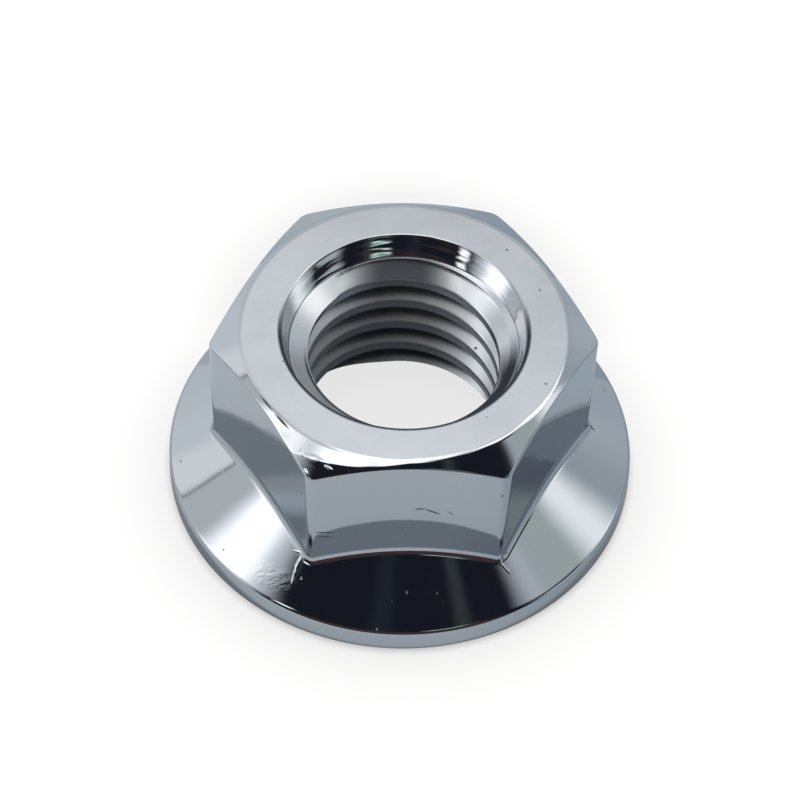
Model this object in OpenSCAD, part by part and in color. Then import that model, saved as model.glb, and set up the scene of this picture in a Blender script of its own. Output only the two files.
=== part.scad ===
// Hexagon nut with a cone flange, cold formed and turned from one piece of steel.
// Sizes are in millimetres. The nut stands on its bearing face, with its axis on Z.

/* [Hexagon] */
// Width across the flats
across_flats = 15; // [14:0.25:16]
// Radius that rounds each upright corner
corner_r = 0.6; // [0.2:0.05:1]
// Height over all
height = 9.6; // [8.5:0.1:12]
// Diameter at which the top chamfer leaves the top face
top_d = 14.3; // [13.5:0.05:14.5]
// Slope of the top chamfer below the top face
chamfer_angle = 34; // [20:1:40]
// Radius that rounds the edge between the top face and the chamfer
top_edge_r = 0.6; // [0.1:0.05:0.7]

/* [Flange] */
// Diameter of the flange
flange_d = 20.85; // [20:0.05:22]
// Height of the rim, where its wall would meet the slope
rim_h = 1.15; // [0.8:0.05:1.6]
// Slope of the flange's upper side
flange_angle = 35; // [25:1:38]
// Radius that rounds the rim's upper edge
rim_edge_r = 0.35; // [0.1:0.05:0.5]
// Radius that rounds the edge of the bearing face
base_edge_r = 0.2; // [0.1:0.05:0.4]
// Radius of the fillet between the hexagon and the flange
root_r = 0.5; // [0.3:0.05:1.2]

/* [Thread] */
// Nominal diameter of the thread
thread_d = 10; // [8:0.5:11]
// Pitch of the thread
pitch = 1.5; // [1:0.25:1.75]
// How much wider than the thread's basic minor diameter the bore was drilled
drill_over = 0.12; // [0:0.02:0.3]

/* [Countersinks] */
// Gap between the thread's roots and the foot of the recess
recess_gap = 0.08; // [0.04:0.02:0.3]
// Depth of the recess
recess_h = 1.1; // [0.4:0.05:1.5]
// Lean of the recess's wall away from the axis
recess_lean = 17.5; // [5:0.5:30]
// Radius that rounds the mouth of the recess
recess_edge_r = 0.15; // [0.05:0.05:0.3]
// Slope of the cone that leads from the recess to the thread
lead_angle = 30; // [20:1:45]
// How much wider than the thread the countersink in the bearing face is
base_sink_over = 2.5; // [0.2:0.1:3.5]
// Slope of the countersink in the bearing face
base_sink_angle = 45; // [30:1:60]

/* [Hidden] */
$fn = 96;
apothem = across_flats / 2;
flange_r = flange_d / 2;
// The thread's crests end on the drilled bore
bore_r = (thread_d - 5 / 4 * cos(30) * pitch + drill_over) / 2;
// Centre of each rounded corner, from the axis
corner_at = (apothem - corner_r) / cos(30);
// How far a cutter passes a face that it opens
past = 1;
// How far a body reaches into the steel of the one that it joins
sink = 0.5;
// Depth to which the fillet's ball bites into the wall and the slope
bite = 0.02;
// Steps round a corner, along a flat and across the fillet
corner_steps = 6;
flat_steps = 10;
fillet_steps = 6;

// Unit vector in the plane at an angle from X
function dir(a) = [cos(a), sin(a)];

// Height of the flange's slope at a distance from the axis
function slope_z(r) = rim_h + (flange_r - r) * tan(flange_angle);

// Points of the wall round one corner, each with its outward normal
function corner(k) = [
    for (i = [0:corner_steps])
        let (n = dir(60 * k - 30 + 60 * i / corner_steps))
        [corner_at * dir(60 * k) + corner_r * n, n]
];

// Points of the wall along the flat that follows corner k, without its ends
function flat(k) = [
    for (i = [1:flat_steps - 1])
        let (n = dir(60 * k + 30), u = corner_at * (i / flat_steps - 1 / 2))
        [apothem * n + u * dir(60 * k + 120), n]
];

// Turned envelope that cuts the top chamfer, with its rounded upper edge
module turned_top() {
    wide = across_flats;
    run = top_edge_r * tan(chamfer_angle / 2);
    edge_at = top_d / 2 - run;
    meet = edge_at + top_edge_r * sin(chamfer_angle);
    meet_z = height - top_edge_r * (1 - cos(chamfer_angle));
    rotate_extrude() {
        polygon([
            [0, 0],
            [wide, 0],
            [wide, height - (wide - top_d / 2) * tan(chamfer_angle)],
            [meet, meet_z],
            [edge_at, height],
            [0, height]
        ]);
        translate([edge_at, height - top_edge_r])
            circle(r = top_edge_r);
    }
}

// Hexagon from inside the flange up to its chamfered top
module hexagon() {
    intersection() {
        translate([0, 0, sink])
            linear_extrude(height - sink + past)
                polygon([for (k = [0:5], w = corner(k)) w[0]]);
        turned_top();
    }
}

// Unit vector a share t of the way round from a to b
function between(a, b, t) =
    let (w = acos(a * b))
    (sin((1 - t) * w) * a + sin(t * w) * b) / sin(w);

// Closed section of the fillet's body at a point p of the wall, with normal n.
// A ball of root_r touches the wall and the slope, and the arc of the ball
// between the two touching points is the fillet. The rest is sunk in the steel.
function fillet_section(p, n) =
    let (
        c = p + (root_r - bite) * n,
        e = c / norm(c),
        z = slope_z(norm(c)) + (root_r - bite) / cos(flange_angle),
        from = [-n.x, -n.y, 0],
        to = -[sin(flange_angle) * e.x, sin(flange_angle) * e.y, cos(flange_angle)],
        arc = [
            for (i = [0:fillet_steps])
                [c.x, c.y, z] + root_r * between(from, to, i / fillet_steps)
        ],
        inner = p - sink * n
    )
    concat(arc, [
        arc[fillet_steps] - [0, 0, sink],
        [inner.x, inner.y, arc[fillet_steps].z - sink],
        [inner.x, inner.y, z]
    ]);

// Fillet that runs all the way round the hexagon's foot
module root_fillet() {
    ring = [for (k = [0:5]) each concat(corner(k), flat(k))];
    n = len(ring);
    m = fillet_steps + 4;
    polyhedron(
        [for (w = ring) each fillet_section(w[0], w[1])],
        [
            for (i = [0:n - 1], j = [0:m - 1])
                let (
                    a = i * m + j,
                    b = i * m + (j + 1) % m,
                    c = (i + 1) % n * m + (j + 1) % m,
                    d = (i + 1) % n * m + j
                )
                each [[a, b, c], [a, c, d]]
        ]
    );
}

// Flange with its bearing face, rounded rim and cone
module flange() {
    run = rim_edge_r * tan((90 - flange_angle) / 2);
    edge_z = rim_h - run;
    meet = flange_r - rim_edge_r * (1 - sin(flange_angle));
    meet_z = edge_z + rim_edge_r * cos(flange_angle);
    inner = bore_r + sink;
    rotate_extrude() {
        polygon([
            [0, 0],
            [flange_r - base_edge_r, 0],
            [flange_r, base_edge_r],
            [flange_r, edge_z],
            [meet, meet_z],
            [inner, slope_z(inner)],
            [0, slope_z(inner)]
        ]);
        translate([flange_r - base_edge_r, base_edge_r])
            circle(r = base_edge_r);
        translate([flange_r - rim_edge_r, edge_z])
            circle(r = rim_edge_r);
    }
}

// Bore at the thread's crests, open at both ends
module thread_bore() {
    translate([0, 0, -past])
        cylinder(r = bore_r, h = height + 2 * past);
}

// Recess in the top face, and the cone that leads from it to the thread
module top_recess() {
    foot = thread_d / 2 + recess_gap;
    foot_z = height - recess_h;
    mouth = foot + recess_h * tan(recess_lean);
    run = recess_edge_r * tan((90 - recess_lean) / 2);
    rotate_extrude()
        difference() {
            polygon([
                [0, foot_z - foot * tan(lead_angle)],
                [foot, foot_z],
                [mouth - run * sin(recess_lean), height - run * cos(recess_lean)],
                [mouth + run, height],
                [mouth + run, height + past],
                [0, height + past]
            ]);
            translate([mouth + run, height - recess_edge_r])
                circle(r = recess_edge_r);
        }
}

// Countersink in the bearing face
module base_countersink() {
    mouth = (thread_d + base_sink_over) / 2;
    rotate_extrude()
        polygon([
            [0, -past],
            [mouth + past / tan(base_sink_angle), -past],
            [0, mouth * tan(base_sink_angle)]
        ]);
}

// The whole nut
module flange_nut() {
    color("silver")
        difference() {
            union() {
                hexagon();
                flange();
                root_fillet();
            }
            thread_bore();
            top_recess();
            base_countersink();
        }
}

flange_nut();
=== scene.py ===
"""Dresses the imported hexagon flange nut.

The nut is one closed surface: its hexagon, flange, fillets and chamfer are worked out as
grids, and its bore carries a true helical thread. It stands on a pale floor in soft light.
All sizes are in millimetres until a mesh is made, and in metres from there on.
"""

import logging
import math
from collections.abc import Callable
from dataclasses import dataclass, field
from functools import cached_property, partial, reduce

import bpy
import numpy as np
from mathutils import Matrix, Vector


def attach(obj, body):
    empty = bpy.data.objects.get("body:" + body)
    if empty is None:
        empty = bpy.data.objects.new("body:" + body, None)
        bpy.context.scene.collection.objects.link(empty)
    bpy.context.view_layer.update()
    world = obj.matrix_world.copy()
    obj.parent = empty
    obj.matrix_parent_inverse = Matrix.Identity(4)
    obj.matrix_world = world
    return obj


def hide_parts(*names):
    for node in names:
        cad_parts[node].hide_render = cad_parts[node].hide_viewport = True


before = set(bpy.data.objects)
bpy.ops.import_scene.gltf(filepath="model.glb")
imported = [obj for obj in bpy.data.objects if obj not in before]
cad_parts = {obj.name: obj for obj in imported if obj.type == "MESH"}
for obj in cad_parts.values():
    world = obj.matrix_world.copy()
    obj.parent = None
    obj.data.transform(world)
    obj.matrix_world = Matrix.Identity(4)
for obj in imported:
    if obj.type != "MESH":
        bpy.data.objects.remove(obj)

LOG = logging.getLogger("flange_nut")
MM = 0.001
NODE = "flange_nut"
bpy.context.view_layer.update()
Array = np.ndarray
Colour = tuple[float, float, float]
LAMP: Colour = (3.2, 3.05, 2.9)
GLOOM: Colour = (0.021, 0.025, 0.037)


def ring(r: Array, z: Array, azimuth: Array) -> Array:
    """Carries a section round the axis: x = r cos a, y = r sin a, z = z.

    Args:
        r: Distances from the axis, one per row or a row-by-column grid.
        z: Heights, one per row or a row-by-column grid.
        azimuth: Angles of the columns, one per column or a row-by-column grid.

    Returns:
        Points, rows by columns by three.
    """
    r = r[:, None] if r.ndim == 1 else r
    z = z[:, None] if z.ndim == 1 else z
    r, z, a = np.broadcast_arrays(r, z, azimuth)
    return np.stack([r * np.cos(a), r * np.sin(a), z], axis=-1)


def unit(v: Array) -> Array:
    """Vectors divided by their lengths, along the last axis."""
    return v / np.linalg.norm(v, axis=-1, keepdims=True)


def azimuths(points: Array) -> Array:
    """Angles of the points of a row about the Z axis, without a jump along the row."""
    return np.unwrap(np.arctan2(points[:, 1], points[:, 0]))


def smooth_step(x: Array, start: float, end: float) -> Array:
    """Rises from 0 at start to 1 at end: t^2 (3 - 2t), with t the share of the way."""
    t = np.clip((x - start) / (end - start), 0, 1)
    return t * t * (3 - 2 * t)


def rolling_ball(centre: Array, start: Array, end: Array,
                 radius: float, steps: int) -> Array:
    """Arcs of a ball between the two surfaces that it touches.

    At a share t of the way the direction from the ball's centre is
    (sin((1-t)w) start + sin(tw) end) / sin w, where w is the angle between the two.

    Args:
        centre: Centre of the ball, one per column.
        start: Unit direction from the centre to the first surface, one per column.
        end: Unit direction from the centre to the second surface, one per column.
        radius: Radius of the ball.
        steps: Steps across each arc.

    Returns:
        Points, steps + 1 rows by columns by three.
    """
    w = np.arccos(np.clip((start * end).sum(-1), -1, 1))[None, :, None]
    t = np.linspace(0, 1, steps + 1)[:, None, None]
    way = (np.sin((1 - t) * w) * start + np.sin(t * w) * end) / np.sin(w)
    return centre + radius * way


def rounded_path(corners: list[tuple[float, float, float]],
                 steps: int, guard: float = 0.15) -> tuple[Array, Array]:
    """A path of straight lines whose corners are rounded by arcs.

    An arc of radius R that turns the path by w leaves each line at R tan(w/2) from the
    corner, and its points lie at equal turns from there. A point is added close to each
    end of an arc, so that the flat beside it keeps its own normal.

    Args:
        corners: Distance from the axis, height and rounding radius of each corner. The
            first and the last are the ends of the path.
        steps: Steps across each arc.
        guard: How far past an arc's end the added point lies, as a share of its run.

    Returns:
        The distances from the axis and the heights of the points.
    """
    points = [np.array(corners[0][:2])]
    for before, here, after in zip(corners, corners[1:], corners[2:]):
        corner = np.array(here[:2])
        into = unit(corner - np.array(before[:2]))
        out = unit(np.array(after[:2]) - corner)
        turn = math.acos(float(np.clip(into @ out, -1, 1)))
        run = here[2] * math.tan(turn / 2)
        side = unit(out - into)
        centre = corner + side * here[2] / math.cos(turn / 2)
        t = np.linspace(-0.5, 0.5, steps + 1)[:, None] * turn
        along = unit(into + out)
        arc = centre + here[2] * (np.sin(t) * along - np.cos(t) * side)
        reach = run * (1 + guard)
        points += [corner - into * reach, *arc, corner + out * reach]
    points.append(np.array(corners[-1][:2]))
    path = np.array(points)
    return path[:, 0], path[:, 1]


@dataclass
class Outline:
    """Outline of the hexagon, with a small arc at each upright corner."""

    across_flats: float = 15.0
    corner_r: float = 0.6
    corner_steps: int = 12
    flat_steps: int = 48
    gather: float = 0.11

    def walk(self) -> tuple[Array, Array]:
        """Points of the outline and their outward normals, once round and closed.

        Corner k has its arc's centre at 60k degrees. The normal turns by 60 degrees
        along an arc and stays the same along the flat that follows it.

        Returns:
            Points and unit normals in the plane, columns by two. The last repeats the
            first.
        """
        apothem = self.across_flats / 2
        reach = (apothem - self.corner_r) / math.cos(math.radians(30))
        k = np.arange(6)[:, None]
        bend = np.linspace(-30, 30, self.corner_steps + 1)[None, :]
        centre = np.radians(60 * k) + 0 * bend
        turn = np.radians(60 * k + bend)
        arc_n = np.stack([np.cos(turn), np.sin(turn)], -1)
        arc = reach * np.stack([np.cos(centre), np.sin(centre)], -1) + self.corner_r * arc_n
        share = np.arange(1, self.flat_steps)[None, :] / self.flat_steps
        along = reach * (self.flat_shares(share) - 0.5)
        face = np.radians(60 * k + 30) + 0 * share
        flat_n = np.stack([np.cos(face), np.sin(face)], -1)
        tangent = np.stack([-np.sin(face), np.cos(face)], -1)
        flat = apothem * flat_n + along[..., None] * tangent
        points = np.concatenate([arc, flat], axis=1).reshape(-1, 2)
        normals = np.concatenate([arc_n, flat_n], axis=1).reshape(-1, 2)
        return np.vstack([points, points[:1]]), np.vstack([normals, normals[:1]])

    def flat_shares(self, share: Array) -> Array:
        """Steps along a flat, closer together near its ends: s - gather sin(2 pi s)."""
        return share - self.gather * np.sin(2 * np.pi * share)


@dataclass
class Thread:
    """Right-hand internal thread, cut along a helix that climbs with the azimuth."""

    nominal_d: float = 10.0
    pitch: float = 1.5
    bore_r: float = 4.2481
    crest_at: float = 7.64
    crest_round: float = 0.05
    root_round: float = 0.06

    @property
    def depth(self) -> float:
        """Depth of the grooves below the crests."""
        return self.nominal_d / 2 - self.bore_r

    @property
    def crest_z(self) -> float:
        """Height of a crest's centre at azimuth 0."""
        return self.crest_at - self.pitch / 4

    @property
    def flank(self) -> float:
        """Axial length of one 30 degree flank."""
        return self.depth * math.tan(math.radians(30))

    @property
    def crest_half(self) -> float:
        """Half the width of a crest: half the pitch less a flank and half a root."""
        return self.pitch / 2 - self.flank - self.pitch / 16

    def turn(self) -> Array:
        """Places of one turn's rows along the axis.

        Returns:
            Heights from one crest's centre down to the next one's, which is left out.
        """
        a, b = self.crest_half, self.crest_half + self.flank
        c, d = self.crest_round, self.root_round
        half = np.array([0, a - c, a - c / 3, a + c / 3, a + c, (a + b) / 2,
                         b - d, b - d / 3, b + d / 3, b + d])
        return -np.concatenate([half, self.pitch - half[:0:-1]])

    def radius(self, u: Array) -> Array:
        """Distance of the thread's surface from the axis.

        With s the distance along the axis from the nearest crest's centre, the flank
        stands at h = (s - crest_half) / tan 30. It is held between the crest (0) and the
        root (depth), and each bend is a parabola (h + w)^2 / 4w within w of it.

        Args:
            u: Height above a crest's centre.

        Returns:
            Distances from the axis.
        """
        s = np.abs((u + self.pitch / 2) % self.pitch - self.pitch / 2)
        steep = 1 / math.tan(math.radians(30))
        h = (s - self.crest_half) * steep
        low, high = self.crest_round * steep, self.root_round * steep
        h = np.where(np.abs(h) < low, (h + low) ** 2 / (4 * low), np.maximum(h, 0))
        g = self.depth - h
        g = np.where(np.abs(g) < high, (g + high) ** 2 / (4 * high), np.maximum(g, 0))
        return self.bore_r + self.depth - g


@dataclass
class FlangeNut:
    """The nut, as one closed surface.

    Its rows follow the section from the bearing face out over the flange, up the hexagon,
    over the top and down the bore.
    """

    outline: Outline = field(default_factory=Outline)
    thread: Thread = field(default_factory=Thread)
    height: float = 9.6
    top_d: float = 14.3
    chamfer_angle: float = 34.0
    top_edge_r: float = 0.6
    chamfer_edge_r: float = 0.12
    flange_d: float = 20.84
    rim_h: float = 1.15
    flange_angle: float = 35.0
    rim_edge_r: float = 0.35
    base_edge_r: float = 0.2
    root_r: float = 0.5
    foot_inset: float = 0.14
    recess_foot_r: float = 5.08
    recess_h: float = 1.1
    recess_lean: float = 17.5
    recess_edge_r: float = 0.15
    recess_foot_edge_r: float = 0.1
    lead_angle: float = 30.0
    base_sink_r: float = 6.25
    base_sink_angle: float = 45.0
    cone_start: float = 0.03
    broken_at: float = 150.0
    broken_width: float = 55.0
    broken_depth: float = 0.95
    broken_z: tuple[float, float] = (0.3, 1.5)
    guard: float = 0.02
    turn_rate: float = 1.05
    spare_turns: int = 2
    rim_band: float = 2.0
    crown_band: float = 0.2
    lead_band: float = 0.1
    root_steps: int = 14
    edge_steps: int = 6
    turned_steps: int = 8
    cone_rows: tuple[float, ...] = (0.12, 0.25, 0.4, 0.55, 0.7, 0.85, 0.97)
    wall_rows: tuple[float, ...] = (0.01, 0.06, 0.2, 0.35, 0.5, 0.65, 0.8, 0.94, 0.99)
    crown_rows: tuple[float, ...] = (0.05, 0.35, 0.65, 0.95)

    def slope_z(self, r: Array) -> Array:
        """Height of the flange's cone at a distance from the axis."""
        return self.rim_h + (self.flange_d / 2 - r) * math.tan(math.radians(self.flange_angle))

    def chamfer_z(self, r: Array) -> Array:
        """Height of the chamfer's cone at a distance from the axis."""
        return self.height - (r - self.top_d / 2) * math.tan(math.radians(self.chamfer_angle))

    def touch(self, ball: float, wall: Array, normal: Array, angle: float,
              cone: Callable[[Array], Array], steps: int) -> Array:
        """Fillet between the upright wall and a cone, as the path of a ball.

        The ball's centre stands off the wall by its radius and off the cone by its
        radius / cos(angle) in height. A negative radius puts it inside the steel.

        Args:
            ball: Radius of the ball, negative for a convex edge.
            wall: Points of the wall's outline, columns by two.
            normal: Outward normals of the wall, columns by two.
            angle: Slope of the cone in degrees.
            cone: Gives the cone's height at a distance from the axis.
            steps: Steps across the fillet.

        Returns:
            Points from the wall to the cone, rows by columns by three.
        """
        flat = wall + ball * normal
        r = np.linalg.norm(flat, axis=1)
        a = math.radians(angle)
        z = cone(r) + ball / math.cos(a)
        centre = np.column_stack([flat, z])
        side = math.copysign(1.0, ball)
        to_wall = -side * np.column_stack([normal, np.zeros(len(r))])
        e = flat / r[:, None]
        to_cone = -side * np.column_stack([math.sin(a) * e, np.full(len(r), math.cos(a))])
        return rolling_ball(centre, to_wall, to_cone, abs(ball), steps)

    def surface(self) -> Array:
        """The whole surface as a grid, rows along the section by columns round the axis.

        Returns:
            Points in millimetres, rows by columns by three. The last column repeats the
            first, one turn of the helix further up.
        """
        wall, normal = self.outline.walk()
        foot = wall - self.foot_inset * normal
        root = self.touch(self.root_r, foot, normal, self.flange_angle, self.slope_z,
                          self.root_steps)[::-1]
        edge = self.touch(-self.chamfer_edge_r, wall, normal, self.chamfer_angle,
                          self.chamfer_z, self.edge_steps)
        share = np.array(self.wall_rows)[:, None, None]
        upright = root[-1] + share * (edge[0] - root[-1])
        azimuth = azimuths(wall)
        crown = self.crown(edge[-1], azimuth)
        return np.concatenate([self.flange(root[0], azimuth), root, upright, edge, crown,
                               self.bore(azimuth, float(crown[-1, 0, 2]))])

    def flange(self, foot: Array, azimuth: Array) -> Array:
        """The bearing face, the rim and the flange's cone, up to the hexagon's fillet.

        Across the bearing face the columns turn from the wall's azimuths to the fillet's.

        Args:
            foot: Lower edge of the fillet, columns by three.
            azimuth: Angles of the wall's columns.

        Returns:
            Points, rows by columns by three.
        """
        outer = azimuths(foot)
        flange_r = self.flange_d / 2
        slope_r = flange_r - self.rim_band
        r, z = rounded_path([
            (self.base_sink_r + self.guard, 0, 0),
            (flange_r, 0, self.base_edge_r),
            (flange_r, self.rim_h, self.rim_edge_r),
            (slope_r, float(self.slope_z(slope_r)), 0),
        ], self.turned_steps)
        r, z = r[:-1], z[:-1]
        share = (r - self.base_sink_r) / (flange_r - self.base_sink_r)
        turned = np.clip(share * self.turn_rate, 0, 1)[:, None]
        face = ring(r, z, azimuth + turned * (outer - azimuth))
        foot_r = np.linalg.norm(foot[:, :2], axis=1)
        r = r[-1] + np.array(self.cone_rows)[:, None] * (foot_r - r[-1])
        return np.concatenate([face, ring(r, self.slope_z(r), outer)])

    def crown(self, edge: Array, azimuth: Array) -> Array:
        """The chamfer's cone, the top face and the recess, down to the lead cone.

        Args:
            edge: Lower edge of the chamfer's cone, columns by three.
            azimuth: Angles of the wall's columns.

        Returns:
            Points, rows by columns by three.
        """
        top_r = self.top_d / 2
        start, end = top_r + self.crown_band, self.recess_foot_r - self.lead_band
        r, z = rounded_path([
            (start, float(self.chamfer_z(start)), 0),
            (top_r, self.height, self.top_edge_r),
            (self.mouth_r, self.height, self.recess_edge_r),
            (self.recess_foot_r, self.foot_z, self.recess_foot_edge_r),
            (end, float(self.lead_z(end)), 0),
        ], self.turned_steps)
        r, z = r[1:-1], z[1:-1]
        edge_r, lower = np.linalg.norm(edge[:, :2], axis=1), azimuths(edge)
        share = np.array(self.crown_rows)[:, None]
        band_r = edge_r + share * (r[0] - edge_r)
        band = ring(band_r, self.chamfer_z(band_r), lower + share * (azimuth - lower))
        return np.concatenate([band, ring(r, z, azimuth)])

    @property
    def foot_z(self) -> float:
        """Height of the recess's foot."""
        return self.height - self.recess_h

    @property
    def mouth_r(self) -> float:
        """Distance from the axis to the recess's mouth."""
        return self.recess_foot_r + self.recess_h * math.tan(math.radians(self.recess_lean))

    def lead_z(self, r: Array) -> Array:
        """Height of the lead cone at a distance from the axis."""
        return self.foot_z - (self.recess_foot_r - r) * math.tan(math.radians(self.lead_angle))

    @property
    def sink_slope(self) -> float:
        """Rise of the bearing face's countersink per unit towards the axis."""
        return math.tan(math.radians(self.base_sink_angle))

    def cones(self, z: Array, azimuth: Array) -> Array:
        """Distance from the axis to which the bore is opened at its two ends.

        The lead cone above and the countersink below, whichever is wider. Near
        broken_at the first turn is broken back by broken_depth, by the product of a
        smooth step on the azimuth and one on the height.

        Args:
            z: Heights.
            azimuth: Angles, to go with the heights.

        Returns:
            Distances from the axis.
        """
        lead = self.recess_foot_r - (self.foot_z - z) / math.tan(math.radians(self.lead_angle))
        off = np.abs((np.degrees(azimuth) - self.broken_at + 180) % 360 - 180)
        broken = smooth_step(off, self.broken_width, 0) * smooth_step(z, *self.broken_z)
        sink = self.base_sink_r - z / self.sink_slope + self.broken_depth * broken
        return np.maximum(lead, sink)

    def bore(self, azimuth: Array, start: float) -> Array:
        """The bore, from the recess's foot down to the bearing face.

        Row j of the column at azimuth a has the height z = row_j + pitch a / 2 pi, held
        between the two plain ends, so each row runs along the helix. Its distance from
        the axis is the larger of the thread's and the end cones'. Where the two cross
        between two rows, the nearer row is moved on to the crossing.

        Args:
            azimuth: Angles of the columns.
            start: Height of the last plain row above.

        Returns:
            Points, rows by columns by three.
        """
        thread = self.thread
        top = min(start, float(self.lead_z(thread.nominal_d / 2 + self.cone_start)))
        bottom = (self.base_sink_r - thread.nominal_d / 2 - self.cone_start) * self.sink_slope
        turns = math.ceil((top - bottom) / thread.pitch) + self.spare_turns
        first = thread.crest_z + self.spare_turns * thread.pitch
        rows = (first - thread.pitch * np.arange(turns + 1)[:, None] + thread.turn()).ravel()
        climb = thread.pitch * azimuth / (2 * np.pi)
        z = np.clip(rows[:, None] + climb, bottom, top)
        crest = thread.crest_z + climb
        gap = thread.radius(z - crest) - self.cones(z, azimuth)
        for upper, lower in ((0, 1), (1, 0)):
            a, b = gap[:-1], gap[1:]
            t = np.where(a * b < 0, a / np.where(a == b, 1, a - b), -1)
            hit = (t >= 0) & ((t < 0.5) if upper == 0 else (t >= 0.5))
            z_new = z[:-1] + t * (z[1:] - z[:-1])
            z[upper:len(z) - lower][hit] = z_new[hit]
        r = np.maximum(thread.radius(z - crest), self.cones(z, azimuth))
        end_r = np.array([self.base_sink_r - self.guard, self.base_sink_r])
        end = ring(end_r, (self.base_sink_r - end_r) * self.sink_slope, azimuth)
        return np.concatenate([ring(r, z, azimuth), end])

    def build(self) -> bpy.types.Object:
        """Makes the closed mesh from the grid.

        Returns:
            The nut's object, at the origin, in metres.
        """
        grid = self.surface()
        rows, columns = grid.shape[:2]
        points = grid.reshape(-1, 3)
        _, first, same = np.unique(np.round(points, decimals=6), axis=0,
                                   return_index=True, return_inverse=True)
        at = same.reshape(rows, columns)
        at = np.vstack([at, at[:1]])
        a, b, c, d = at[:-1, :-1], at[:-1, 1:], at[1:, 1:], at[1:, :-1]
        faces = np.concatenate([np.stack([a, b, c], -1).reshape(-1, 3),
                                np.stack([a, c, d], -1).reshape(-1, 3)])
        keep = ((faces[:, 0] != faces[:, 1]) & (faces[:, 1] != faces[:, 2])
                & (faces[:, 0] != faces[:, 2]))
        used, faces = np.unique(faces[keep], return_inverse=True)
        points, faces = points[first][used], faces.reshape(-1, 3)
        nut = mesh_object(NODE + "_body", points, faces)
        nut.data.shade_smooth()
        nut.data.normals_split_custom_set(corner_normals(points, faces).tolist())
        nut.data.update()
        return nut


def mesh_object(name: str, points: Array, faces: Array) -> bpy.types.Object:
    """Puts a mesh into the scene.

    Args:
        name: Name of the object and its mesh.
        points: Vertices in millimetres.
        faces: Vertex numbers of each face, outward.

    Returns:
        The new object, at the origin.
    """
    mesh = bpy.data.meshes.new(name)
    mesh.from_pydata((points * MM).tolist(), [], faces.tolist())
    obj = bpy.data.objects.new(name, mesh)
    bpy.context.scene.collection.objects.link(obj)
    return obj


def corner_normals(points: Array, faces: Array, sharp: float = 38.0) -> Array:
    """Normals at the corners of triangles, smooth except over sharp edges.

    A corner's normal is the sum of the area vectors of its own triangle and of each
    other triangle at the same vertex that turns less than the sharp angle from it. The
    area weights keep a flat's own normal beside a small rounding.

    Args:
        points: Vertices.
        faces: Vertex numbers of each triangle.
        sharp: Angle in degrees past which two triangles don't share a normal.

    Returns:
        Unit normals, three for each triangle in turn.
    """
    corner = points[faces]
    area = np.cross(corner[:, 1] - corner[:, 0], corner[:, 2] - corner[:, 0])
    facing = unit(area)
    order = np.argsort(faces.ravel(), kind="stable")
    vertex, face = faces.ravel()[order], order // 3
    total = area[face]
    step = 1
    while True:
        here = np.flatnonzero(vertex[step:] == vertex[:-step])
        if not len(here):
            break
        near = (facing[face[here]] * facing[face[here + step]]).sum(-1)
        here = here[near > math.cos(math.radians(sharp))]
        total[here] += area[face[here + step]]
        total[here + step] += area[face[here]]
        step += 1
    normals = np.empty_like(total)
    normals[order] = unit(total)
    return normals


Socket = bpy.types.NodeSocket
Source = Socket | float | tuple[float, ...]
Step = tuple[float, float]


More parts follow.
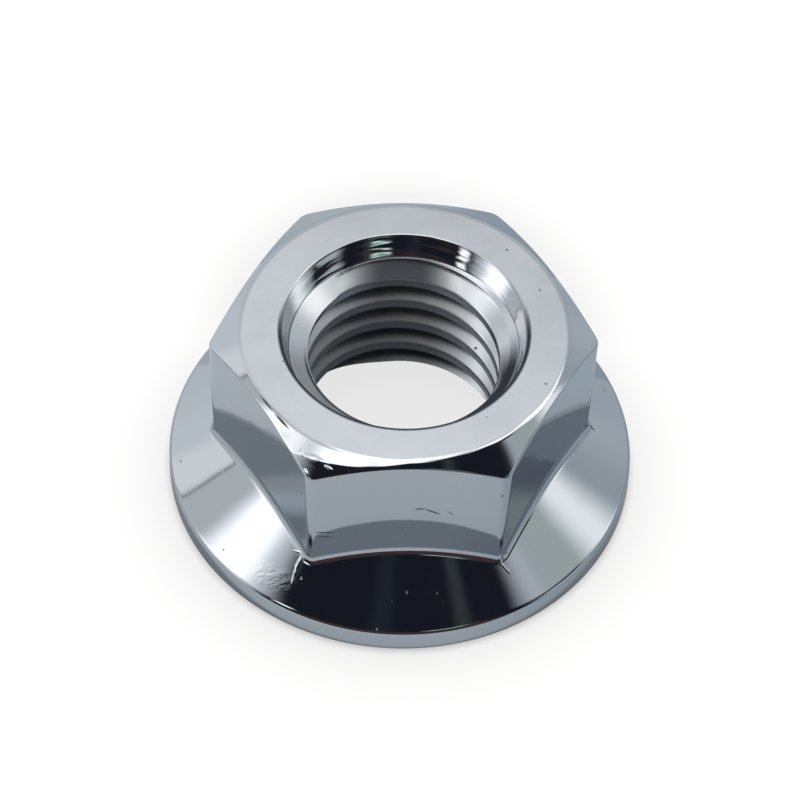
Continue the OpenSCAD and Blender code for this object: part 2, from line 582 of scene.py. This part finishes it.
class Tree:
    """Places the nodes of one shader tree and joins them."""

    def __init__(self, tree: bpy.types.NodeTree) -> None:
        """Starts with an empty tree."""
        self.tree = tree
        tree.nodes.clear()

    def put(self, target: Socket, value: Source) -> None:
        """Joins a socket to another, or writes a plain value on it.

        Args:
            target: The input.
            value: The output to join it to, or its value. A colour needs no alpha.
        """
        if isinstance(value, Socket):
            self.tree.links.new(value, target)
        elif isinstance(target.default_value, (int, float)):
            target.default_value = value
        else:
            opaque = (1.0,) if len(target.default_value) > len(value) else ()
            target.default_value = (*value, *opaque)

    def add(self, kind: str, inputs: dict[str | int, Source] | None = None,
            **settings: object) -> bpy.types.Node:
        """Adds a node.

        Args:
            kind: The node's type name after ShaderNode.
            inputs: A plain value or a socket for each input, by name or number.
            settings: The node's own settings.

        Returns:
            The new node.
        """
        node = self.tree.nodes.new("ShaderNode" + kind)
        for name, value in settings.items():
            setattr(node, name, value)
        for name, value in (inputs or {}).items():
            self.put(node.inputs[name], value)
        return node

    def group(self, group: bpy.types.NodeTree, **inputs: Source) -> Socket:
        """Places a node group with the inputs named, and gives its output."""
        return self.add("Group", inputs, node_tree=group).outputs[0]

    def noise(self, place: Source, scale: Source, detail: float,
              roughness: float = 0.5) -> Socket:
        """Noise between 0 and 1, about 0.5 in the middle."""
        return self.add("TexNoise", {"Vector": place, "Scale": scale, "Detail": detail,
                                     "Roughness": roughness}).outputs["Fac"]

    def math(self, operation: str, *values: Source) -> Socket:
        """A math node's result for the values given."""
        return self.add("Math", dict(enumerate(values)), operation=operation).outputs[0]

    def product(self, first: Source, *others: Source) -> Source:
        """The product of all the values."""
        return reduce(partial(self.math, "MULTIPLY"), others, first)

    def total(self, first: Source, *others: Source) -> Source:
        """The sum of all the values."""
        return reduce(partial(self.math, "ADD"), others, first)

    def less(self, value: Source, other: Source) -> Socket:
        """The value less the other."""
        return self.math("SUBTRACT", value, other)

    def held(self, value: Source) -> Socket:
        """The value, held between 0 and 1."""
        return self.math("MINIMUM", 1.0, self.math("MAXIMUM", 0.0, value))

    def vector(self, operation: str, a: Source, b: Source = (0.0, 0.0, 0.0)) -> Socket:
        """A vector math node's result, a vector or a number, for the values given."""
        outputs = self.add("VectorMath", {0: a, 1: b}, operation=operation).outputs
        return next(socket for socket in outputs if socket.enabled)

    def axis(self, place: Source, name: str) -> Socket:
        """One coordinate of a vector."""
        return self.add("SeparateXYZ", {0: place}).outputs[name]

    def between(self, value: Source, low: Source, high: Source) -> Socket:
        """A smooth step from 0 at low to 1 at high."""
        return self.add("MapRange", {"Value": value, "From Min": low, "From Max": high},
                        interpolation_type="SMOOTHSTEP").outputs["Result"]

    def step(self, value: Source, step: Step) -> Socket:
        """A smooth step from 0 at the step's first end to 1 at its second, in millimetres."""
        return self.between(value, step[0] * MM, step[1] * MM)

    def mix(self, share: Source, a: Source, b: Source) -> Socket:
        """Mixes two colours.

        Args:
            share: How much of the second colour is taken, from 0 to 1.
            a: The first colour.
            b: The second colour.

        Returns:
            The mixed colour, a + share (b - a).
        """
        node = self.add("Mix", data_type="RGBA")
        used = [socket for socket in node.inputs if socket.enabled]
        for socket, value in zip(used, (share, a, b)):
            self.put(socket, value)
        return next(socket for socket in node.outputs if socket.enabled)


class GroupTree(Tree):
    """The tree of a shader node group with named inputs and one output."""

    def __init__(self, name: str, output: str, kind: str, **inputs: str) -> None:
        """Starts the group.

        Args:
            name: Name of the group.
            output: Name of its output.
            kind: Type name of the output after NodeSocket.
            inputs: The same for each input, by name.
        """
        super().__init__(bpy.data.node_groups.new(name, "ShaderNodeTree"))
        sockets = [(*pair, "INPUT") for pair in inputs.items()] + [(output, kind, "OUTPUT")]
        for socket, value_type, direction in sockets:
            self.tree.interface.new_socket(
                socket, in_out=direction, socket_type="NodeSocket" + value_type)
        self.get = self.tree.nodes.new("NodeGroupInput").outputs
        self.sink = self.tree.nodes.new("NodeGroupOutput")

    def give(self, value: Source) -> bpy.types.NodeTree:
        """Joins the output, and hands over the group."""
        self.put(self.sink.inputs[0], value)
        return self.tree


class Surface(Tree):
    """The tree of a new material."""

    def __init__(self, name: str) -> None:
        """Starts the material.

        Args:
            name: Name of the material.
        """
        self.material = bpy.data.materials.new(name)
        self.material.use_nodes = True
        super().__init__(self.material.node_tree)

    @cached_property
    def place(self) -> Socket:
        """The object's own coordinates."""
        return self.add("TexCoord").outputs["Object"]

    def finish(self, shader: bpy.types.Node) -> bpy.types.Material:
        """Joins the shader to the output, and hands over the material."""
        self.put(self.add("OutputMaterial").inputs["Surface"], shader.outputs[0])
        return self.material


@dataclass(frozen=True)
class Panel:
    """A soft-edged part of the room, seen from the nut.

    Azimuth 0 is in front, where the camera stands, and 90 is on its right. Angles are in
    degrees, and colours are the light that the panel sends out.
    """

    azimuth: float
    half_width: float
    side_soft: float
    low: float
    high: float
    edge_soft: float
    colour: Colour

    def mask(self, azimuth: Array, elevation: Array) -> Array:
        """How much of the panel is seen in each direction.

        The product of a smooth step across the sides, on the difference of azimuth
        wrapped to +-180 degrees, and one at each of the two edges.

        Args:
            azimuth: Azimuths in degrees.
            elevation: Elevations in degrees.

        Returns:
            Shares from 0 to 1.
        """
        off = np.abs((azimuth - self.azimuth + 180) % 360 - 180)
        width, soft = self.half_width, self.side_soft
        return (smooth_step(off, width + soft, width - soft)
                * smooth_step(elevation, self.low - self.edge_soft, self.low + self.edge_soft)
                * smooth_step(elevation, self.high + self.edge_soft, self.high - self.edge_soft))


@dataclass
class Studio:
    """The room round the nut: soft panels, a pale floor and a white background."""

    radius: float = 800.0
    steps: int = 720
    room: Colour = (1.38, 1.40, 1.43)
    panels: tuple[Panel, ...] = (
        Panel(128, 62, 16, -90, 60, 8, (0.70, 0.78, 0.83)),
        Panel(180, 60, 30, 30, 90, 12, (1.86, 1.84, 1.82)),
        Panel(180, 50, 20, -30, 36, 8, (1.35, 1.40, 1.42)),
        Panel(136, 14, 10, -30, 12, 8, (0.82, 0.90, 0.97)),
        Panel(-142, 12, 8, -30, 8, 8, (1.16, 1.21, 1.26)),
        Panel(82, 11, 7, -90, 60, 8, (0.85, 0.92, 0.90)),
        Panel(98, 7, 6, 11, 60, 3, (2.12, 2.12, 2.07)),
        Panel(96, 14, 6, -25, 8, 3, (0.40, 0.44, 0.52)),
        Panel(-119, 6, 3, -90, 60, 8, (1.66, 1.65, 1.63)),
        Panel(-103, 10, 2, -90, 60, 8, (1.09, 1.12, 1.13)),
        Panel(-112.6, 0.4, 1.0, 5, 36, 4, (0.33, 0.34, 0.35)),
        Panel(-85, 10, 6, 17, 62, 5, (3.2, 3.1, 3.05)),
        Panel(-86, 3, 3, 3, 8, 2, (1.7, 1.8, 1.9)),
        Panel(-77, 4, 2, 6, 15, 2, (0.8, 0.85, 0.95)),
        Panel(-2, 62, 8, -90, 72, 4, GLOOM),
        Panel(64, 15, 3, 47.2, 62, 1, GLOOM),
        Panel(-9, 5, 4, 30, 60, 6, (0.035, 0.042, 0.06)),
        Panel(-2, 26, 12, 66, 80, 3, LAMP),
        Panel(-56, 22, 6, 60, 80, 3, LAMP),
        Panel(110, 17, 5, 39, 62, 3, LAMP),
        Panel(86, 14, 5, 55, 72, 3, LAMP),
        Panel(70, 13, 4, 18, 34, 2.5, (0.03, 0.035, 0.045)),
        Panel(32, 3.5, 3, 10, 62, 4, (0.075, 0.087, 0.09)),
        Panel(-2, 40, 10, -35, 36, 8, (0.12, 0.07, 0.065)),
        Panel(20, 9, 3, 39, 42.5, 1.5, (1.4, 1.8, 1.55)),
        Panel(-53, 4, 2, 30, 42, 3, (2.8, 2.7, 2.6)),
        Panel(0, 181, 1, 75, 91, 3, LAMP),
    )
    floor_share: float = 0.68
    floor_z: float = -0.02
    floor_colour: float = 0.10
    floor_glow: float = 0.885
    # Painted shade on the floor's glow: a soft shade round the flange's foot and the patch behind
    # the hexagon, and a narrow contact shadow close to the flange
    flange_r: float = 10.42
    top_r: float = 8.3
    top_behind: tuple[float, float] = (0.43, 7.46)
    shade: float = 0.13
    shade_reach: float = 3.4
    contact: float = 0.42
    contact_edge: Step = (10.76, 10.08)
    contact_start: Step = (7.0, 8.0)
    # Painted shadow on the floor as the nut mirrors it: darker within a circle round the nut
    painted_shadow_centre: tuple[float, float] = (0.0, 0.7)
    painted_shadow_edge: Step = (11.36, 11.12)
    painted_shadow_colour: Colour = (0.37, 0.41, 0.45)
    # Painted light on the floor as the nut mirrors it: paler and bluer on the left, darker on the
    # right, blended across X
    painted_light_left: Colour = (0.88, 0.94, 1.0)
    painted_dark_right: Colour = (0.56, 0.66, 0.76)
    across: Step = (2.0, 11.0)

    def light(self, azimuth: Array, elevation: Array) -> Array:
        """Light from each direction: each panel is laid over those before it.

        Args:
            azimuth: Azimuths in degrees.
            elevation: Elevations in degrees.

        Returns:
            Red, green and blue for each direction.
        """
        colour = np.broadcast_to(self.room, (*azimuth.shape, 3))
        for panel in self.panels:
            share = panel.mask(azimuth, elevation)[..., None]
            colour = colour + share * (np.array(panel.colour) - colour)
        return colour

    def room_material(self) -> bpy.types.Material:
        """The room's glow, read from the colours on its mesh.

        Returns:
            The material.
        """
        tree = Surface("room_glow")
        tree.material.cycles.emission_sampling = "NONE"
        colour = tree.add("Attribute", attribute_name="glow").outputs["Color"]
        return tree.finish(tree.add("Emission", {"Color": colour, "Strength": 1.0}))

    def away(self, tree: Surface, x: float, y: float) -> Socket:
        """Distance on the floor from a point in millimetres."""
        return tree.vector("DISTANCE", tree.place, (x * MM, y * MM, 0.0))

    def floor_light(self, tree: Surface) -> Source:
        """Strength of the floor's own white, with shade painted into it.

        It fades by a painted soft shade round the foot of the flange and the patch that the
        hexagon stands before: (1 - d / reach)^2, with d the distance from the two
        circles. A narrow painted contact shadow lies close to the flange.

        Args:
            tree: The floor's material.

        Returns:
            The strength.
        """
        shade: Source = 0.0
        for centre, radius in (((0.0, 0.0), self.flange_r), (self.top_behind, self.top_r)):
            off = tree.math("DIVIDE", tree.less(self.away(tree, *centre), radius * MM),
                            self.shade_reach * MM)
            near = tree.math("POWER", tree.less(1.0, tree.held(off)), 2.0)
            shade = tree.math("MAXIMUM", shade, near)
        out = self.away(tree, 0.0, 0.0)
        close = tree.product(tree.step(out, self.contact_edge), tree.step(out, self.contact_start))
        return tree.product(self.floor_glow, tree.less(1.0, tree.product(shade, self.shade)),
                            tree.less(1.0, tree.product(close, self.contact)))

    def floor_material(self) -> bpy.types.Material:
        """A pale floor: its faint diffuse share takes the nut's real shadow, and its glow carries
        painted shade round the nut and is white away from it.

        Mirrored in the nut its glow is painted darker to the right, as if lit from the left,
        and carries a painted shadow within a circle round the nut.

        Returns:
            The material.
        """
        tree = Surface("pale_floor")
        path = tree.add("LightPath").outputs
        camera = path["Is Camera Ray"]
        seen = tree.math("MINIMUM", 1.0, tree.total(
            camera, path["Is Glossy Ray"], path["Is Transmission Ray"]))
        # Painted light on the mirrored floor: paler on the left, darker on the right
        side = tree.step(tree.axis(tree.place, "X"), self.across)
        # Painted shadow on the mirrored floor, within a circle round the nut
        in_painted_shadow = tree.step(self.away(tree, *self.painted_shadow_centre), self.painted_shadow_edge)
        mirrored = tree.mix(in_painted_shadow, tree.mix(side, self.painted_light_left, self.painted_dark_right),
                            self.painted_shadow_colour)
        matt = tree.add("BsdfDiffuse", {"Color": (self.floor_colour,) * 3})
        glow = tree.add("Emission", {
            "Color": tree.mix(camera, mirrored, (1.0, 1.0, 1.0)),
            "Strength": tree.product(seen, self.floor_light(tree))})
        return tree.finish(tree.add("AddShader", {0: matt.outputs[0], 1: glow.outputs[0]}))

    def build(self) -> None:
        """Makes the dome that carries the panels, the floor and the white background."""
        steps, rings = self.steps, self.steps // 2
        azimuth = np.linspace(0, 2 * np.pi, steps + 1)[:-1]
        rise = np.linspace(-np.pi / 2, np.pi / 2, rings + 1)
        grid = ring(self.radius * np.cos(rise), self.radius * np.sin(rise), azimuth)
        at = np.arange((rings + 1) * steps).reshape(rings + 1, steps)
        a, b = at[:-1], np.roll(at[:-1], -1, axis=1)
        c, d = np.roll(at[1:], -1, axis=1), at[1:]
        quads = np.stack([a, d, c, b], -1).reshape(-1, 4)
        dome = mesh_object("room", grid.reshape(-1, 3), quads)
        dome.visible_camera = False
        glow = dome.data.color_attributes.new("glow", "FLOAT_COLOR", "POINT")
        colour = self.light(*np.meshgrid(np.degrees(azimuth) + 90, np.degrees(rise)))
        opaque = np.ones((rings + 1, steps, 1))
        glow.data.foreach_set("color", np.concatenate([colour, opaque], -1).ravel())
        half, z = self.radius * self.floor_share, self.floor_z
        corners = np.array([[-half, -half, z], [half, -half, z], [half, half, z], [-half, half, z]])
        floor = mesh_object("floor", corners, np.array([[0, 1, 2, 3]]))
        for obj, material in ((dome, self.room_material()), (floor, self.floor_material())):
            obj.data.materials.append(material)
        world = bpy.data.worlds.new("white")
        world.use_nodes = True
        tree = Tree(world.node_tree)
        sky = tree.add("Background", {"Color": (1.0, 1.0, 1.0), "Strength": 1.0})
        tree.put(tree.add("OutputWorld").inputs["Surface"], sky.outputs[0])
        bpy.context.scene.world = world


@dataclass(frozen=True)
class Mark:
    """One mark: a long raised or sunk spot on the surface, or a streak of colour alone, in
    millimetres.

    The height is in micrometres, and the stain is how much of the plating's colour the
    mark takes away.
    """

    start: tuple[float, float, float]
    end: tuple[float, float, float]
    width: float
    height: float
    stain_and_shade: float = 0.0

    def mask(self, tree: Surface, group: bpy.types.NodeTree) -> Socket:
        """Places the mark group, with the spot's centre, turn and half sizes in metres.

        Args:
            tree: The material that carries the mark.
            group: The mark group.

        Returns:
            The spot's mask.
        """
        start, end = Vector(self.start), Vector(self.end)
        along = end - start
        half = along.length / 2 + self.width
        return tree.group(group, Place=tree.place, Centre=tuple((start + end) / 2 * MM),
                          Turn=tuple(along.to_track_quat("X", "Z").to_euler()),
                          Size=tuple(v * MM for v in (half, self.width, self.width)))


def mark_group() -> bpy.types.NodeTree:
    """Group that masks one mark.

    The place is carried into the mark's own frame and divided by its half sizes, and the
    mask falls from 1 to 0 by a smooth step of its length there.

    Returns:
        The node group.
    """
    tree = GroupTree("surface_mark", "Mask", "Float", Place="Vector", Centre="Vector",
                     Turn="Vector", Size="Vector")
    get = tree.get
    own = tree.add("Mapping", {"Vector": get["Place"], "Location": get["Centre"],
                               "Rotation": get["Turn"], "Scale": get["Size"]},
                   vector_type="TEXTURE").outputs[0]
    return tree.give(tree.between(tree.vector("LENGTH", own), 1.0, 0.2))


def pits_group() -> bpy.types.NodeTree:
    """Group that scatters small pits.

    A pit lies at the point of a cell, in the share Amount of the cells, and its outline
    is bent by noise.

    Returns:
        The node group.
    """
    tree = GroupTree("small_pits", "Mask", "Float", Place="Vector", Scale="Float",
                     Size="Float", Amount="Float")
    get = tree.get
    bend = tree.noise(get["Place"], tree.product(get["Scale"], 2.0), detail=2.0)
    cell = tree.add("TexVoronoi", {"Vector": get["Place"], "Scale": get["Scale"]}).outputs
    chosen = tree.math("LESS_THAN", tree.axis(cell["Color"], "X"), get["Amount"])
    size = tree.product(get["Size"], 2.0, bend)
    pit = tree.between(cell["Distance"], size, tree.product(size, 0.5))
    return tree.give(tree.product(pit, chosen))


def cloud_group() -> bpy.types.NodeTree:
    """Group that darkens the plating in soft clouds, more the further along Slope.

    The cloud is noise added to the share of the way along Slope, and is held between 0
    and 1.

    Returns:
        The node group.
    """
    tree = GroupTree("dark_clouds", "Mask", "Float", Place="Vector", Slope="Vector",
                     Scale="Float", Blotch="Float")
    get = tree.get
    noise = tree.noise(get["Place"], get["Scale"], detail=4.0, roughness=0.68)
    blotch = tree.product(get["Blotch"], tree.less(noise, 0.5))
    way = tree.vector("DOT_PRODUCT", get["Place"], get["Slope"])
    return tree.give(tree.held(tree.total(0.5, way, blotch)))


def hairline_group() -> bpy.types.NodeTree:
    """Group that draws fine scratches along one direction.

    Noise is stretched along the direction at Angle in the plane. A scratch runs where it
    is within Width of one half, and other noise breaks the lines up.

    Returns:
        The node group.
    """
    tree = GroupTree("hairlines", "Mask", "Float", Place="Vector", Angle="Float",
                     Scale="Float", Width="Float", Amount="Float")
    get = tree.get
    turned = tree.add("VectorRotate", {"Vector": get["Place"], "Angle": get["Angle"]},
                      rotation_type="Z_AXIS").outputs[0]
    long = tree.vector("MULTIPLY", turned, (0.03, 1.0, 1.0))
    off = tree.math("ABSOLUTE", tree.less(tree.noise(long, get["Scale"], detail=1.0), 0.5))
    line = tree.between(off, get["Width"], 0.0)
    limit = tree.less(1.0, get["Amount"])
    gate = tree.between(tree.noise(get["Place"], scale=420.0, detail=1.0), limit,
                        tree.total(limit, 0.1))
    return tree.give(tree.product(line, gate))


def turned_group() -> bpy.types.NodeTree:
    """Group that bends the normal of a turned wall.

    Turning marks round the wall throw its mirror image upward: the normal becomes
    unit(N + lift Z). Noise that runs round the axis varies the lift from mark to mark.

    Returns:
        The node group.
    """
    tree = GroupTree("turned_wall", "Normal", "Vector", Place="Vector", Normal="Vector",
                     Lift="Float", Spread="Float", Scale="Float")
    get = tree.get
    axes = tree.add("SeparateXYZ", {0: get["Place"]}).outputs
    azimuth = tree.math("ARCTAN2", axes["Y"], axes["X"])
    rise = tree.product(axes["Z"], get["Scale"])
    round_axis = tree.add("CombineXYZ", {"X": azimuth, "Y": rise}).outputs[0]
    noise = tree.noise(round_axis, scale=1.5, detail=3.0)
    lift = tree.total(get["Lift"], tree.product(get["Spread"], tree.less(noise, 0.5)))
    up = tree.add("CombineXYZ", {"Z": lift}).outputs[0]
    return tree.give(tree.vector("NORMALIZE", tree.vector("ADD", get["Normal"], up)))


@dataclass(frozen=True)
class Zone:
    """A part of the nut with soft edges, and how much what lies there counts.

    It is bounded by smooth steps in millimetres: along X, Y and Z, and out from the axis.
    """

    share: float = 1.0
    x: Step | None = None
    y: Step | None = None
    z: Step | None = None
    out: Step | None = None

    def mask(self, tree: Tree, at: dict[str, Socket], *others: Source) -> Source:
        """The product of the share, the steps along the measures at, and other masks."""
        steps = [tree.step(at[name], getattr(self, name)) for name in at if getattr(self, name)]
        return tree.product(self.share, *steps, *others)


@dataclass(frozen=True)
class PlatedSteel:
    """Bright zinc plating over cold formed steel, with its wear and stains, and with shade
    painted into the bore and the recess.

    Heights are in micrometres, and places in millimetres.
    """

    colour: Colour = (0.335, 0.36, 0.385)
    # The dark colour of stains, pits and the top face's clouds, and of the shade painted into the
    # bore and the recess
    stain_and_shade: Colour = (0.008, 0.012, 0.020)
    stain_and_shade_cover: float = 0.97
    stain_and_shade_roughness: float = 0.45
    edge_tint: float = 0.9
    roughness: float = 0.05
    hair_roughness: float = 0.08
    bore_roughness: float = 0.24
    wave_scale: float = 520.0
    wave_height: float = 5.0
    pit_height: float = -4.0
    pit_stain: float = 0.6
    hair_height: float = -0.25
    grain_scale: float = 3600.0
    grain_stretch: tuple[float, float, float] = (0.6, 1.6, 1.6)
    # On the top face the clouds grow darker towards the back and the right
    cloud_slope: tuple[float, float, float] = (22.0, 48.0, 0.0)
    bore: Zone = Zone(out=(5.12, 4.97))
    top: Zone = Zone(0.3, z=(9.45, 9.55))
    wall: Zone = Zone(z=(8.5, 8.56), out=(5.7, 5.6))
    wall_rim: Zone = Zone(z=(9.55, 9.5))
    wall_lift: float = 0.72
    wall_spread: float = 0.9
    crown: Zone = Zone(0.36, x=(0.5, -0.5), y=(-4.6, -5.6), z=(9.50, 9.56))
    crown_slant: float = 0.10
    # Painted shade: the zones from deep to back_cone darken the bore and the recess in the stains'
    # dark colour where shade falls: deep in the bore, on the front of the recess's wall, in a line
    # under its mouth, on the front of the lead cone, more on its right, and in the middle of the
    # bore's back
    deep: Zone = Zone(0.45, x=(4.2, 1.0), z=(8.4, 5.5))
    wall_front: Zone = Zone(0.8, x=(6.0, 2.0), y=(2.4, -3.2))
    line: Zone = Zone(0.95, y=(2.4, -0.4), z=(9.2, 9.3), out=(0.17, 0.03))
    line_r: float = 5.47
    cone: Zone = Zone(z=(7.3, 7.6), out=(4.24, 4.32))
    cone_front: Zone = Zone(y=(0.9, -1.2))
    cone_left: float = 0.4
    cone_right: Zone = Zone(0.55, x=(-2.0, 2.0))
    lip: Zone = Zone(0.9, out=(4.5, 4.38))
    back: Zone = Zone(x=(2.8, 0.8), y=(1.5, 3.0))
    back_low: float = 0.4
    back_cone: float = 0.42
    scuffs: tuple[Mark, ...] = (
        Mark((-6.35, -7.35, 1.6), (-5.1, -8.05, 1.72), 0.8, 9),
        Mark((6.95, -2.60, 9.43), (5.3, -4.95, 9.5), 0.22, 9),
        Mark((-4.6, -6.5, 9.2), (-3.4, -7.1, 9.1), 0.25, 10),
    )
    marks: tuple[Mark, ...] = (
        Mark((0.33, -7.43, 6.40), (0.72, -7.43, 6.42), 0.06, -14, 0.6),
        Mark((0.72, -7.43, 6.42), (1.45, -7.41, 5.98), 0.06, -14, 0.6),
        Mark((1.75, -7.42, 6.25), (2.05, -7.41, 5.95), 0.05, 10),
        Mark((-4.12, -7.38, 4.75), (-2.9, -7.39, 4.62), 0.06, -14, 0.8),
        Mark((-4.12, -7.38, 4.45), (-3.1, -7.39, 4.35), 0.05, 0, 0.8),
        # Dark streaks of colour alone, with no relief, down both lower corners of the front flat
        Mark((-4.20, -7.34, 4.6), (-4.20, -7.31, 3.3), 0.14, 0, 0.97),
        Mark((4.18, -7.34, 4.2), (4.18, -7.30, 3.3), 0.12, 0, 0.9),
        Mark((-5.05, -6.75, 2.62), (-4.55, -7.03, 2.66), 0.08, 30),
        Mark((-4.58, -7.10, 2.66), (-4.82, -7.50, 2.22), 0.12, 40),
        Mark((-4.80, -7.46, 2.24), (-5.00, -8.02, 1.84), 0.09, 34),
        Mark((4.22, -7.22, 2.80), (4.20, -7.50, 2.44), 0.13, 40),
        Mark((4.20, -7.46, 2.44), (4.60, -7.80, 2.12), 0.08, 30),
        Mark((4.40, -7.22, 2.72), (4.62, -7.05, 2.66), 0.10, 0, 0.97),
        # Dark streaks of colour alone, with no relief, along the top edge over the left front flat
        Mark((-6.46, -3.35, 9.49), (-5.74, -4.50, 9.51), 0.09, 0, 0.9),
        Mark((-5.80, -4.42, 9.51), (-5.10, -5.36, 9.44), 0.09, 0, 0.9),
        Mark((-4.66, -6.25, 9.20), (-4.56, -6.50, 9.10), 0.08, 26),
        Mark((-4.46, -7.05, 8.80), (-4.38, -7.26, 8.70), 0.09, 30),
        Mark((-3.60, -7.05, 9.08), (-3.32, -7.22, 9.04), 0.08, 28),
        Mark((8.42, 0.25, 2.50), (8.78, -0.12, 2.32), 0.09, 0, 0.95),
    )

    def relief(self, tree: Surface) -> tuple[Source, Source, Source]:
        """Waves, pits, hairlines, marks and scuffs.

        Args:
            tree: The plating's material.

        Returns:
            The surface's height, its stains and the mask of the hairlines.
        """
        pits = tree.group(pits_group(), Place=tree.place, Scale=1500.0, Size=0.13, Amount=0.12)
        hairs = tree.group(hairline_group(), Place=tree.place, Angle=0.6, Scale=5200.0,
                           Width=0.012, Amount=0.42)
        wave = tree.noise(tree.place, self.wave_scale, detail=1.0)
        height = tree.total(tree.product(wave, self.wave_height),
                            tree.product(pits, self.pit_height),
                            tree.product(hairs, self.hair_height))
        stain_and_shade = tree.product(pits, self.pit_stain)
        group = mark_group()
        for mark in self.marks:
            mask = mark.mask(tree, group)
            if mark.height:
                height = tree.total(height, tree.product(mask, mark.height))
            if mark.stain_and_shade:
                stain_and_shade = tree.math("MAXIMUM", stain_and_shade, tree.product(mask, mark.stain_and_shade))
        grain = tree.noise(tree.vector("MULTIPLY", tree.place, self.grain_stretch),
                           self.grain_scale, detail=2.0)
        for scuff in self.scuffs:
            height = tree.total(height, tree.product(
                scuff.mask(tree, group), scuff.height, grain))
        return height, stain_and_shade, hairs

    def painted_bore_shade(self, tree: Surface, at: dict[str, Socket], inside: Source,
             wall: Source) -> list[Source]:
        """Dirt of the bore and the recess.

        Args:
            tree: The plating's material.
            at: The measures of the shaded point.
            inside: The mask of the bore.
            wall: The mask of the recess's wall.

        Returns:
            The masks of the painted shade: deep in the bore, on the front of the recess's wall,
            in a line under its mouth, on the front of the lead cone, and in the middle of the
            bore's back.
        """
        off = tree.math("ABSOLUTE", tree.less(at["out"], self.line_r * MM))
        side = tree.math("ABSOLUTE", at["x"])
        cone = self.cone.mask(tree, at, inside)
        share = tree.math("MAXIMUM", self.lip.mask(tree, at), tree.total(
            self.cone_left, self.cone_right.mask(tree, at)))
        back = tree.total(self.back_low, tree.product(self.back_cone, cone))
        return [
            self.deep.mask(tree, at, inside),
            self.wall_front.mask(tree, at, wall),
            self.line.mask(tree, {**at, "out": off}),
            self.cone_front.mask(tree, at, cone, share),
            self.back.mask(tree, {**at, "x": side}, inside, back),
        ]

    def bent_normal(self, tree: Surface, at: dict[str, Socket], wall: Source) -> Socket:
        """The normal, lifted on the recess's wall and at the left front of the crown.

        Args:
            tree: The plating's material.
            at: The measures of the shaded point.
            wall: The mask of the recess's wall.

        Returns:
            The normal.
        """
        slant = tree.less(at["z"], tree.product(at["x"], self.crown_slant))
        lift = tree.total(tree.product(wall, self.wall_lift),
                          self.crown.mask(tree, {**at, "z": slant}))
        return tree.group(turned_group(), Place=tree.place, Lift=lift, Scale=2500.0,
                          Normal=tree.add("NewGeometry").outputs["Normal"],
                          Spread=tree.product(wall, self.wall_spread))

    def make(self) -> bpy.types.Material:
        """The plating's material.

        Returns:
            The material.
        """
        tree = Surface("bright_plating")
        axes = tree.add("SeparateXYZ", {0: tree.place}).outputs
        flat = tree.add("CombineXYZ", {"X": axes["X"], "Y": axes["Y"]}).outputs[0]
        at = {"x": axes["X"], "y": axes["Y"], "z": axes["Z"], "out": tree.vector("LENGTH", flat)}
        height, stain_and_shade, hairs = self.relief(tree)
        inside = self.bore.mask(tree, at)
        wall = self.wall.mask(tree, at, self.wall_rim.mask(tree, at))
        # The shade painted into the bore and the recess joins the stains
        for patch in self.painted_bore_shade(tree, at, inside, wall):
            stain_and_shade = tree.math("MAXIMUM", stain_and_shade, patch)
        clouds = tree.group(cloud_group(), Place=tree.place, Slope=self.cloud_slope,
                            Scale=260.0, Blotch=1.1)
        dark = tree.math("MAXIMUM", stain_and_shade, self.top.mask(tree, at, clouds))
        rough = tree.total(self.roughness,
                           tree.product(inside, self.bore_roughness - self.roughness),
                           tree.product(hairs, self.hair_roughness),
                           tree.product(stain_and_shade, self.stain_and_shade_roughness))
        bump = tree.add("Bump", {"Strength": 1.0, "Distance": 0.001 * MM, "Height": height,
                                 "Normal": self.bent_normal(tree, at, wall)})
        return tree.finish(tree.add("BsdfPrincipled", {
            "Base Color": tree.mix(dark, self.colour, self.stain_and_shade),
            "Metallic": tree.less(1.0, tree.product(self.stain_and_shade_cover, stain_and_shade)),
            "Roughness": rough, "Specular IOR Level": 0.0,
            "Specular Tint": (self.edge_tint,) * 3, "Normal": bump.outputs[0]}))

    def dress(self, nut: bpy.types.Object) -> None:
        """Puts the plating on the nut."""
        nut.data.materials.append(self.make())


@dataclass
class View:
    """The camera, at the photograph's angle."""

    azimuth: float = -3.3095
    elevation: float = 52.1193
    roll: float = 2.1774
    distance: float = 210.0
    aim_z: float = 10.54
    slide: float = 0.219
    rise: float = 3.654
    sensor: float = 36.0
    focal_px: float = 4804.33
    frame_px: float = 800.0
    clip: tuple[float, float] = (0.01, 10.0)

    def build(self) -> bpy.types.Object:
        """Places the camera: back from the aim along the view, then slid in its plane.

        Returns:
            The camera's object.
        """
        a, e, r = (math.radians(v) for v in (self.azimuth, self.elevation, self.roll))
        back = Vector((math.sin(a) * math.cos(e), -math.cos(a) * math.cos(e), math.sin(e)))
        level = Vector((math.cos(a), math.sin(a), 0))
        up = back.cross(level)
        right = math.cos(r) * level + math.sin(r) * up
        top = -math.sin(r) * level + math.cos(r) * up
        data = bpy.data.cameras.new("camera")
        data.sensor_width = self.sensor
        data.lens = self.focal_px / self.frame_px * self.sensor
        data.clip_start, data.clip_end = self.clip
        camera = bpy.data.objects.new("camera", data)
        place = (Vector((0, 0, self.aim_z)) + self.distance * back
                 - self.slide * right - self.rise * top) * MM
        camera.matrix_world = Matrix.Translation(place) @ Matrix(
            (right, top, back)).transposed().to_4x4()
        bpy.context.scene.collection.objects.link(camera)
        bpy.context.scene.camera = camera
        return camera


def main() -> None:
    """Builds the nut, its finish, the studio and the camera, and logs each."""
    logging.basicConfig(level=logging.INFO, format="%(name)s: %(message)s")
    bpy.context.scene.view_settings.view_transform = "Standard"
    nut = FlangeNut().build()
    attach(nut, "root")
    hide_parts(NODE)
    PlatedSteel().dress(nut)
    LOG.info("%s: %d triangles", nut.name, len(nut.data.polygons))
    Studio().build()
    LOG.info("studio: room, floor and white background")
    LOG.info("%s: at the photograph's angle", View().build().name)


if __name__ == "__main__":
    main()
